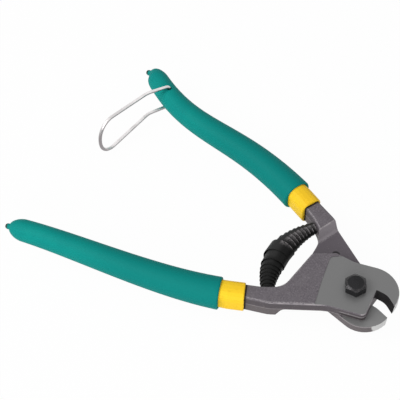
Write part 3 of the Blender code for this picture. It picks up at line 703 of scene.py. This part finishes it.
def forged_steel(name, colours, route, tip, mouth_side, ridge_height, foot_shadow_colour):
    """Scaled forging with machined faces and ground jaw walls, worn edges with painted highlights, painted
    light on its ramps, parting line, ridges and jaw laps, and painted shade on its side walls, inside the
    mouth and in crevices.
    """
    material, tree, shader, coords = new_material(name, 0.5, 0.2, 0.3)
    place, normal = coords.outputs["Object"], coords.outputs["Normal"]
    facing = parts_of(tree, normal)
    upright = reckon(tree, "ABSOLUTE", facing["Z"])
    above = reckon(tree, "SUBTRACT", parts_of(tree, place)["Z"], LAP_HEIGHT)
    height = reckon(tree, "ABSOLUTE", above)
    wall = rising(tree, upright, 0.4, 0.2)
    grain = place_group(tree, "surface_grain", Vector=place, Scale=1500.0)

    finish = scaled_forging(tree, colours, grain, height, upright, wall)
    finish = with_wall_marks(tree, finish, colours, place, above, wall, ridge_height, foot_shadow_colour)
    finish = with_wear_and_painted_light(tree, finish, colours, normal, grain, above, height, upright, wall)
    finish = with_painted_shadows(tree, finish, colours, place, height, upright, route)
    machined, jaw_lap = machined_masks(tree, place, height, upright)
    ground_wall, painted_shade = jaw_walls(tree, place, facing, upright, wall, tip, mouth_side)
    # Machined and ground faces, with painted light on the jaws' lap faces and painted shade inside the
    # mouth
    for mask, colour in (
        (machined, colours.ground), (jaw_lap, colours.ground_jaw_lit),
        (ground_wall, colours.ground_wall), (painted_shade, colours.painted_shade),
    ):
        finish = blended(tree, mask, finish, colour)
    tree.links.new(finish, shader.inputs["Base Color"])

    bright = reckon(tree, "MAXIMUM", machined, ground_wall)
    tree.links.new(between(tree, bright, 0.2, 0.45), shader.inputs["Metallic"])
    tree.links.new(between(tree, bright, 0.6, 0.42), shader.inputs["Roughness"])
    lines = place_group(tree, "fine_lines", Vector=place, Turn=0.6, Scale=5200.0)
    scale_height = product(tree, grain.outputs["Fine"], reckon(tree, "SUBTRACT", 1.0, bright))
    line_height = product(tree, lines.outputs["Lines"], bright, 0.15)
    add_bump(tree, shader, reckon(tree, "ADD", scale_height, line_height), 0.3, 0.06 * MM)
    return material


def black_finish(name, colour, wear_and_glint, glint_and_wear_share, roughness):
    """Blackened steel, worn and with painted glints where its edges turn."""
    material, tree, shader, coords = new_material(name, roughness, 0.2, 0.25)
    grain = place_group(tree, "surface_grain", Vector=coords.outputs["Object"], Scale=1400.0)
    deep = tuple(channel * 0.65 for channel in colour)
    patches = blended(tree, grain.outputs["Broad"], deep, colour)
    fine = grain.outputs["Fine"]
    edges = place_group(tree, "edge_mask_for_wear_and_light", Normal=coords.outputs["Normal"], Grain=fine)
    # Painted glints, partly wear, on the turning edges
    finish = blended(tree, product(tree, edges.outputs["Mask"], glint_and_wear_share), patches, wear_and_glint)
    lay_finish(tree, shader, finish, fine, roughness - 0.08, roughness + 0.1, 0.2, 0.05 * MM)
    return material


def strip_finish(name, colours):
    """Blackened strip, with painted shade on its side towards the pivot and on the lower rims, and painted
    highlights on the upper ones.
    """
    material, tree, shader, coords = new_material(name, 0.5, 0.0, 0.12)
    place, facing = coords.outputs["Object"], coords.outputs["Normal"]
    grain = place_group(tree, "surface_grain", Vector=place, Scale=1400.0)
    outwards = vector_step(tree, "NORMALIZE", vector_step(tree, "MULTIPLY", place, (1, 1, 0)))
    away = vector_step(tree, "DOT_PRODUCT", outwards, facing)
    # Painted shade on the side towards the pivot
    finish = blended(tree, rising(tree, away, 0.15, -0.45), colours.spring, colours.spring_shade)
    sideways = vector_step(tree, "CROSS_PRODUCT", outwards, (0, 0, 1))
    along = vector_step(tree, "DOT_PRODUCT", sideways, facing)
    # Painted shade on the lower rims
    finish = blended(tree, rising(tree, along, 0.06, 0.14), finish, colours.spring_shade)
    # Painted highlights on the upper rims that face up
    upwards = rising(tree, parts_of(tree, facing)["Z"], 0.3, 0.7)
    on_top = product(tree, upwards, rising(tree, away, 0.25, 0.05))
    patchy = rising(tree, grain.outputs["Fine"], 0.3, 0.6)
    rim = product(tree, rising(tree, along, -0.06, -0.14), on_top, patchy, 0.4)
    finish = blended(tree, rim, finish, colours.wear_and_highlight)
    lay_finish(tree, shader, finish, grain.outputs["Fine"], 0.42, 0.6, 0.2, 0.05 * MM)
    return material


def plated_metal(name, colour, roughness, turn, shade_below=None):
    """Bright plating with faint drawing lines, and, if a colour is given, painted shade where it faces
    down.
    """
    material, tree, shader, coords = new_material(name, roughness, 1.0)
    place = coords.outputs["Object"]
    grain = place_group(tree, "surface_grain", Vector=place, Scale=1200.0)
    lines = place_group(tree, "fine_lines", Vector=place, Turn=turn, Scale=4200.0)
    dull = tuple(channel * 0.8 for channel in colour)
    finish = blended(tree, grain.outputs["Broad"], dull, colour)
    if shade_below:
        facing = parts_of(tree, coords.outputs["Normal"])
        finish = blended(tree, rising(tree, facing["Z"], 0.75, 0.1), finish, shade_below)
    drawn = lines.outputs["Lines"]
    lay_finish(tree, shader, finish, drawn, roughness - 0.06, roughness + 0.08, 0.15, 0.04 * MM)
    return material


def dipped_plastic(name, colour, light, roughness, nib_tip=None, nib_colour=None):
    """Dipped plastic, faintly uneven in colour and skin; on the grips, painted shade towards the head and
    on faces turned to the rear, and a dark end on the drip nib.
    """
    material, tree, shader, coords = new_material(name, roughness, 0.0, 0.1)
    place = coords.outputs["Object"]
    grain = place_group(tree, "surface_grain", Vector=place, Scale=420.0)
    skin = place_group(tree, "surface_grain", Vector=place, Scale=2600.0)
    finish = blended(tree, grain.outputs["Broad"], colour, light)
    shade = tuple(channel * 0.82 for channel in colour)
    if nib_tip:
        # Painted shade: darker towards the head and on the faces turned to the rear
        near_head = rising(tree, parts_of(tree, place)["X"], GRIP_SHADE_START, GRIP_SHADE_END)
        to_rear = rising(tree, parts_of(tree, coords.outputs["Normal"])["Y"], -0.4, 0.9)
        finish = blended(tree, product(tree, near_head, 0.85), finish, shade)
        finish = blended(tree, product(tree, to_rear, 0.55), finish, shade)
    mottled = product(tree, rising(tree, grain.outputs["Fine"], 0.56, 0.7), 0.35)
    finish = blended(tree, mottled, finish, shade)
    if nib_tip:
        apart = distance_from(tree, place, (nib_tip[0] * MM, nib_tip[1] * MM, LAP_HEIGHT))
        near = rising(tree, apart, NIB_DARK_REACH + 0.9 * MM, NIB_DARK_REACH)
        finish = blended(tree, near, finish, nib_colour)
    fine = skin.outputs["Fine"]
    lay_finish(tree, shader, finish, fine, roughness - 0.06, roughness + 0.08, 0.25, 0.06 * MM)
    return material


# Dipped handles

def grip_stations(route, sizes):
    """Distances along the handle and half widths of the grip there, lip, body, dome and nib."""
    nib_end = route_length(route)
    grip_end = nib_end - sizes.nib_length
    dome_start = grip_end - sizes.grip_dome
    lip = sizes.grip_lip

    def half_width(distance):
        share = (distance - SLEEVE_SHOWN) / (grip_end - SLEEVE_SHOWN)
        return (sizes.grip_start_width + (sizes.grip_end_width - sizes.grip_start_width) * share) / 2

    stations = []
    for angle in spaced(0, math.pi / 2, LIP_STEPS):
        distance = SLEEVE_SHOWN + lip * (1 - math.cos(angle))
        stations.append((distance, half_width(distance) - lip * (1 - math.sin(angle))))
    stations += [
        (distance, half_width(distance))
        for distance in spaced(SLEEVE_SHOWN + 2 * lip, dome_start, GRIP_BODY_STEPS)
    ]
    nib = sizes.nib_width / 2
    for angle in spaced(0, math.pi / 2, DOME_STEPS)[1:]:
        shrink = math.cos(angle) ** DOME_POWER
        distance = dome_start + sizes.grip_dome * math.sin(angle)
        stations.append((distance, nib + (half_width(dome_start) - nib) * shrink))
    end = sizes.nib_end_width / 2
    stations.append((grip_end + sizes.nib_length * 0.5, nib))
    for angle in spaced(math.pi / 6, math.pi / 3, 3):
        distance = nib_end - end * (1 - math.sin(angle))
        narrowed = nib + (end - nib) * math.sin(angle)
        stations.append((distance, narrowed - end * (1 - math.cos(angle))))
    return stations


def mouth_tool(route):
    """A block the shape of the yellow sleeve, a little larger, that opens the grip's mouth."""
    start, heading = station(route, SLEEVE_SHOWN)
    deselect_all()
    bpy.ops.mesh.primitive_cube_add(
        size=1, location=start, rotation=(0, 0, math.atan2(heading.y, heading.x)),
        scale=(2 * BORE_DEPTH, 2 * BORE_HALF_WIDTH, 2 * BORE_HALF_HEIGHT),
    )
    tool = added("mouth_tool")
    apply_place(tool)

    def along(first, second):
        return (second - first).normalized().cross(heading).length < 0.1

    select_edges(tool, along)
    bpy.ops.mesh.bevel(offset=BORE_CORNER, offset_type="OFFSET", segments=BORE_CORNER_STEPS)
    leave_edit()
    return tool


def wire_hole(route):
    return station(route, route_length(route) - WIRE_HOLE_TO_NIB_END)[0]


def hole_tool(route, diameter):
    deselect_all()
    bpy.ops.mesh.primitive_cylinder_add(
        vertices=HOLE_SIDES, radius=diameter / 2, depth=HOLE_DEPTH, location=wire_hole(route),
    )
    tool = added("hole_tool")
    apply_place(tool)
    return tool


def dipped_grip(name, route, sizes, drilled):
    """A grip swept along the handle, opened at its mouth and, on the upper handle, drilled for the wire."""
    stations = grip_stations(route, sizes)
    points = [station(route, distance)[0] for distance, _ in stations]
    obj = swept_skin(name, points, [half_width for _, half_width in stations], GRIP_SIDES)
    bpy.ops.object.mode_set(mode="EDIT")
    bpy.ops.mesh.select_all(action="SELECT")
    bpy.ops.transform.resize(
        value=(1, 1, sizes.grip_height_ratio), center_override=(0, 0, LAP_HEIGHT),
    )
    leave_edit()
    combine(obj, mouth_tool(route), "DIFFERENCE")
    if drilled:
        combine(obj, hole_tool(route, sizes.wire_hole), "DIFFERENCE")
    tidy_mesh(obj)
    smooth(obj, 38)
    return obj


# Return spring

def spring_place(turns, length, thickness):
    """Where the strip's middle lies along the spring, and its mean coil radius, at a number of turns."""
    on_lower_half = turns < TURNS_EACH_HALF
    from_end = turns if on_lower_half else 2 * TURNS_EACH_HALF - turns
    open_turns = TURNS_EACH_HALF - CLOSED_TURNS
    share = max(0.0, from_end - CLOSED_TURNS) / open_turns
    whole_run = length - STRIP_WIDTH
    half_run = whole_run * (MIDDLE_SHARE if on_lower_half else 1 - MIDDLE_SHARE)
    even_run = (LOWER_END_STEP if on_lower_half else UPPER_END_STEP) * open_turns
    run = even_run * share + (half_run - even_run) * share ** SWELL_POWER
    place = STRIP_WIDTH / 2 + (run if on_lower_half else whole_run - run)
    end_radius = (SPRING_END_DIAMETER - thickness) / 2
    middle_radius = (SPRING_MIDDLE_DIAMETER - thickness) / 2
    swell = EVEN_SWELL * from_end / TURNS_EACH_HALF + (1 - EVEN_SWELL) * share ** SWELL_POWER
    return place, end_radius + (middle_radius - end_radius) * swell


def on_arc(place, radius, angle):
    """A point of a straight coil, wrapped on the arc about the pivot from the lower seat to the upper."""
    swept = (SEAT_GAP + place) / MEAN_SEAT_DISTANCE
    turn = math.pi + SEAT_ANGLE - swept
    share = swept / (2 * SEAT_ANGLE)
    distance = LOWER_SEAT_DISTANCE + (UPPER_SEAT_DISTANCE - LOWER_SEAT_DISTANCE) * share
    lean = COIL_LEAN * max(0.0, radius - SPRING_END_DIAMETER / 2)
    reach = distance + lean + radius * math.cos(angle)
    return Vector((reach * math.cos(turn), reach * math.sin(turn), LAP_HEIGHT + radius * math.sin(angle)))


def wound_spring(name, thickness):
    """One flat strip wound into two cones, the free rim of each turn flared a little.

    The strip starts as a flat grid, four points wide, whose two outer rows are its rims.
    """
    steps = round(2 * TURNS_EACH_HALF * COIL_SIDES)
    deselect_all()
    bpy.ops.mesh.primitive_grid_add(x_subdivisions=steps, y_subdivisions=3, size=1, location=(0, 0, 0))
    obj = added(name)
    length = 2 * SEAT_ANGLE * MEAN_SEAT_DISTANCE - 2 * SEAT_GAP
    for vert in obj.data.vertices:
        turns = (vert.co.x + 0.5) * 2 * TURNS_EACH_HALF
        place, radius = spring_place(turns, length, thickness)
        on_rim = abs(vert.co.y) > 0.4
        free = on_rim and (vert.co.y < 0) == (turns < TURNS_EACH_HALF)
        across = STRIP_WIDTH / 2 - (0 if on_rim else RIM_WIDTH)
        flare = min(1.0, 4 * abs(turns - TURNS_EACH_HALF))
        flared = radius + (RIM_FLARE * flare if free else 0)
        vert.co = on_arc(place + math.copysign(across, vert.co.y), flared, 2 * math.pi * turns)
    wall = obj.modifiers.new("strip", "SOLIDIFY")
    wall.thickness = thickness
    wall.offset = 0
    apply_modifiers(obj)
    tidy_mesh(obj)
    smooth(obj, 40)
    return obj


# Lock wire

def wire_plan(distance):
    """The sideways place of the wire at a distance from the hole, kinked once and eased at the kink."""
    first = Vector((math.cos(WIRE_FIRST_HEADING), math.sin(WIRE_FIRST_HEADING)))
    second = Vector((math.cos(WIRE_SECOND_HEADING), math.sin(WIRE_SECOND_HEADING)))
    eased = (distance - WIRE_KINK + WIRE_KINK_SOFTNESS) / (2 * WIRE_KINK_SOFTNESS)
    if eased <= 0:
        return first * distance
    if eased >= 1:
        return first * WIRE_KINK + second * (distance - WIRE_KINK)
    start = first * (WIRE_KINK - WIRE_KINK_SOFTNESS)
    corner = first * WIRE_KINK
    end = corner + second * WIRE_KINK_SOFTNESS
    return start * (1 - eased) ** 2 + corner * 2 * eased * (1 - eased) + end * eased ** 2


def wire_half():
    """Distance and height along the wire's upper half, from inside the hole to the middle of the loop."""
    bend_foot = WIRE_LEG_HEIGHT - WIRE_BEND
    half = [(0, WIRE_END_GAP / 2), (0, bend_foot / 2)]
    half += [
        (WIRE_BEND * (1 - math.cos(angle)), bend_foot + WIRE_BEND * math.sin(angle))
        for angle in spaced(0, math.pi / 2, WIRE_POINTS // 2)
    ]
    rise = (WIRE_KINK_HEIGHT - WIRE_LEG_HEIGHT) / (WIRE_KINK - WIRE_BEND)
    half += [
        (distance, WIRE_LEG_HEIGHT + rise * (distance - WIRE_BEND))
        for distance in spaced(2 * WIRE_BEND, WIRE_KINK, WIRE_POINTS)
    ]
    slope = (WIRE_END_HEIGHT - WIRE_KINK_HEIGHT) / (WIRE_END_START - WIRE_KINK)
    half += [
        (distance, WIRE_KINK_HEIGHT + slope * (distance - WIRE_KINK))
        for distance in spaced(WIRE_KINK, WIRE_END_START, WIRE_POINTS)[1:]
    ]
    shoulder = (WIRE_LENGTH - WIRE_END_START) / 2
    end = interpolate_bezier(
        (WIRE_END_START, WIRE_END_HEIGHT, 0),
        (WIRE_END_START + shoulder, WIRE_END_HEIGHT + shoulder * slope, 0),
        (WIRE_LENGTH, WIRE_END_HEIGHT * WIRE_END_FULLNESS, 0),
        (WIRE_LENGTH, 0, 0),
        WIRE_POINTS,
    )
    return half + [(point.x, point.y) for point in end[1:]]


def bent_wire(name, hole, diameter):
    upper = wire_half()
    whole = upper + [(distance, -height) for distance, height in reversed(upper[:-1])]
    points = [hole + Vector((*wire_plan(distance), height)) for distance, height in whole]
    obj = swept_skin(name, points, [diameter / 2] * len(points), WIRE_SIDES)
    smooth(obj, 40)
    return obj


# Stage

def soft_lamp(name, place, aim, size, power):
    deselect_all()
    direction = Vector(aim) - Vector(place)
    bpy.ops.object.light_add(
        type="AREA", location=place, rotation=direction.to_track_quat("-Z", "Y").to_euler(),
    )
    lamp = added(name)
    lamp.data.shape = "DISK"
    lamp.data.size = size
    lamp.data.energy = power
    return lamp


def seen_directly(tree):
    """1 for rays from the camera, from gloss and through glass, and 0 for the light on the object."""
    path = tree.nodes.new("ShaderNodeLightPath")
    seen = reckon(tree, "ADD", path.outputs["Is Camera Ray"], path.outputs["Is Glossy Ray"])
    seen = reckon(tree, "ADD", seen, path.outputs["Is Transmission Ray"])
    return reckon(tree, "MINIMUM", seen, 1.0)


def light_room(strength):
    """An even white room that is seen at full white and lights the object less."""
    world = bpy.data.worlds.new("studio")
    world.use_nodes = True
    tree = world.node_tree
    background = tree.nodes["Background"]
    background.inputs["Color"].default_value = (1, 1, 1, 1)
    seen = seen_directly(tree)
    tree.links.new(between(tree, seen, strength, 1.0), background.inputs["Strength"])
    bpy.context.scene.world = world


def pale_floor(colour, share_of_white):
    """A wide floor that looks white where it is seen and keeps the object's shadow."""
    deselect_all()
    bpy.ops.mesh.primitive_plane_add(size=FLOOR_SIZE, location=(0, 0, FLOOR_HEIGHT))
    floor = added("floor")
    apply_place(floor)
    material, tree, shader, _ = new_material("pale_floor", 0.9, 0.0)
    shader.inputs["Base Color"].default_value = (*colour, 1)
    white = tree.nodes.new("ShaderNodeEmission")
    white.inputs["Color"].default_value = (1, 1, 1, 1)
    white.inputs["Strength"].default_value = 1.0
    mix = tree.nodes.new("ShaderNodeMixShader")
    feed(tree, product(tree, seen_directly(tree), share_of_white), mix.inputs[0])
    tree.links.new(shader.outputs[0], mix.inputs[1])
    tree.links.new(white.outputs[0], mix.inputs[2])
    tree.links.new(mix.outputs[0], tree.nodes["Material Output"].inputs["Surface"])
    floor.data.materials.append(material)


def aim_camera():
    deselect_all()
    bpy.ops.object.camera_add(location=CAMERA_PLACE)
    camera = added("photo_camera")
    turn = Matrix((CAMERA_RIGHT, CAMERA_UP, CAMERA_BACK)).transposed().normalized().to_4x4()
    camera.matrix_world = Matrix.Translation(CAMERA_PLACE) @ turn
    camera.data.sensor_width = CAMERA_SENSOR
    camera.data.lens = CAMERA_LENS
    camera.data.clip_start = 0.05
    camera.data.clip_end = 20
    bpy.context.scene.camera = camera


# Operators

class CUTTER_OT_shared_groups(Operator):
    """Build the shader groups that the finishes share"""

    bl_idname = "cutter.shared_groups"
    bl_label = "Build shared groups"

    def execute(self, context):
        build_surface_grain()
        build_edge_mask()
        build_fine_lines()
        return {"FINISHED"}


class CUTTER_OT_finish_levers(Operator):
    """Give the two forged levers their scaled, machined and ground surfaces"""

    bl_idname = "cutter.finish_levers"
    bl_label = "Finish levers"

    def execute(self, context):
        colours = context.scene.cutter_colours
        paint_nodes(["fixed_lever"], forged_steel(
            "forged_fixed_lever", colours, handle_route(LOWER_ROUTE, LOWER_NIB_TIP), HOOKED_TIP, -1.0,
            HOOKED_RIDGE, colours.head_foot_shadow,
        ))
        paint_nodes(["moving_lever"], forged_steel(
            "forged_moving_lever", colours, handle_route(UPPER_ROUTE, UPPER_NIB_TIP), STRAIGHT_TIP, 1.0,
            STRAIGHT_RIDGE, colours.lower_wall_shade,
        ))
        return {"FINISHED"}


class CUTTER_OT_finish_pivot(Operator):
    """Give the pivot bolt, washer, nut and locking ring their finishes"""

    bl_idname = "cutter.finish_pivot"
    bl_label = "Finish pivot"

    def execute(self, context):
        colours = context.scene.cutter_colours
        paint_nodes(
            ["pivot_bolt"], black_finish("blackened_bolt", colours.bolt, colours.wear_and_highlight, 0.07, 0.25),
        )
        paint_nodes(["pivot_washer", "pivot_nut"], plated_metal("zinc_plate", colours.zinc, 0.32, 0.3))
        paint_nodes(["nut_locking_ring"], dipped_plastic("nylon", colours.nylon, colours.nylon, 0.45))
        return {"FINISHED"}


class CUTTER_OT_wind_spring(Operator):
    """Wind the double volute return spring from one strip"""

    bl_idname = "cutter.wind_spring"
    bl_label = "Wind spring"

    def execute(self, context):
        colours = context.scene.cutter_colours
        spring = wound_spring("volute_spring", context.scene.cutter_sizes.strip_thickness)
        place_piece(spring, strip_finish("blackened_strip", colours), "return_spring", None)
        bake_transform(spring)
        return {"FINISHED"}


class CUTTER_OT_dip_sleeves(Operator):
    """Give the two inner sleeves their yellow plastic"""

    bl_idname = "cutter.dip_sleeves"
    bl_label = "Dip sleeves"

    def execute(self, context):
        colour = context.scene.cutter_colours.sleeve
        light = tuple(min(1.0, channel * 1.06) for channel in colour)
        paint_nodes(
            ["lower_inner_sleeve", "upper_inner_sleeve"], dipped_plastic("yellow_dip", colour, light, 0.42),
        )
        return {"FINISHED"}


class CUTTER_OT_dip_grips(Operator):
    """Shape the two green grips with their rolled lips, domed ends and drip nibs"""

    bl_idname = "cutter.dip_grips"
    bl_label = "Dip grips"

    def execute(self, context):
        sizes = context.scene.cutter_sizes
        colours = context.scene.cutter_colours
        for side, ends, nib_tip, body in (
            ("lower", LOWER_ROUTE, LOWER_NIB_TIP, LOWER_BODY),
            ("upper", UPPER_ROUTE, UPPER_NIB_TIP, UPPER_BODY),
        ):
            grip = dipped_grip(side + "_dipped_grip", handle_route(ends, nib_tip), sizes, side == "upper")
            finish = dipped_plastic(
                side + "_green_dip", colours.grip, colours.grip_light, 0.58, nib_tip, colours.nib,
            )
            place_piece(grip, finish, side + "_grip", body)
        return {"FINISHED"}


class CUTTER_OT_bend_lock_wire(Operator):
    """Bend the wire loop that holds the handles shut"""

    bl_idname = "cutter.bend_lock_wire"
    bl_label = "Bend lock wire"

    def execute(self, context):
        hole = wire_hole(handle_route(UPPER_ROUTE, UPPER_NIB_TIP))
        wire = bent_wire("lock_wire_loop", hole, context.scene.cutter_sizes.wire_diameter)
        colours = context.scene.cutter_colours
        finish = plated_metal("plated_wire", colours.wire, 0.3, 1.2, colours.wire_shade)
        place_piece(wire, finish, "lock_wire", WIRE_BODY)
        return {"FINISHED"}


class CUTTER_OT_set_stage(Operator):
    """Lay the floor and set the lamps, the room light and the camera"""

    bl_idname = "cutter.set_stage"
    bl_label = "Set stage"

    def execute(self, context):
        settings = context.scene.cutter_stage
        pale_floor(context.scene.cutter_colours.floor, settings.floor_glow)
        light_room(settings.sky)
        soft_lamp("key_lamp", KEY_PLACE, LAMP_AIM, KEY_SIZE, settings.key_power)
        soft_lamp("fill_lamp", FILL_PLACE, LAMP_AIM, FILL_SIZE, settings.fill_power)
        aim_camera()
        return {"FINISHED"}


class CUTTER_PT_sidebar(Panel):
    """Lists the steps that dress the cutter, with their sizes and colours"""

    bl_idname = "CUTTER_PT_sidebar"
    bl_label = "Cable cutter"
    bl_space_type = "VIEW_3D"
    bl_region_type = "UI"
    bl_category = "Cable cutter"

    def draw(self, context):
        for operator in STEPS:
            self.layout.operator(operator.bl_idname)
        scene = context.scene
        for settings in (scene.cutter_sizes, scene.cutter_colours, scene.cutter_stage):
            box = self.layout.box()
            for name in settings.__annotations__:
                box.prop(settings, name)


STEPS = (
    CUTTER_OT_shared_groups,
    CUTTER_OT_finish_levers,
    CUTTER_OT_finish_pivot,
    CUTTER_OT_wind_spring,
    CUTTER_OT_dip_sleeves,
    CUTTER_OT_dip_grips,
    CUTTER_OT_bend_lock_wire,
    CUTTER_OT_set_stage,
)
CLASSES = (CutterSizes, CutterColours, CutterStage, *STEPS, CUTTER_PT_sidebar)


def register():
    for cls in CLASSES:
        bpy.utils.register_class(cls)
    bpy.types.Scene.cutter_sizes = PointerProperty(type=CutterSizes)
    bpy.types.Scene.cutter_colours = PointerProperty(type=CutterColours)
    bpy.types.Scene.cutter_stage = PointerProperty(type=CutterStage)


def unregister():
    del bpy.types.Scene.cutter_stage
    del bpy.types.Scene.cutter_colours
    del bpy.types.Scene.cutter_sizes
    for cls in reversed(CLASSES):
        bpy.utils.unregister_class(cls)


def main():
    register()
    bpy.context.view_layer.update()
    bpy.context.scene.view_settings.view_transform = "Standard"
    bpy.ops.cutter.shared_groups()
    bpy.ops.cutter.finish_levers()
    bpy.ops.cutter.finish_pivot()
    bpy.ops.cutter.wind_spring()
    bpy.ops.cutter.dip_sleeves()
    bpy.ops.cutter.dip_grips()
    bpy.ops.cutter.bend_lock_wire()
    bpy.ops.cutter.set_stage()


if __name__ == "__main__":
    main()
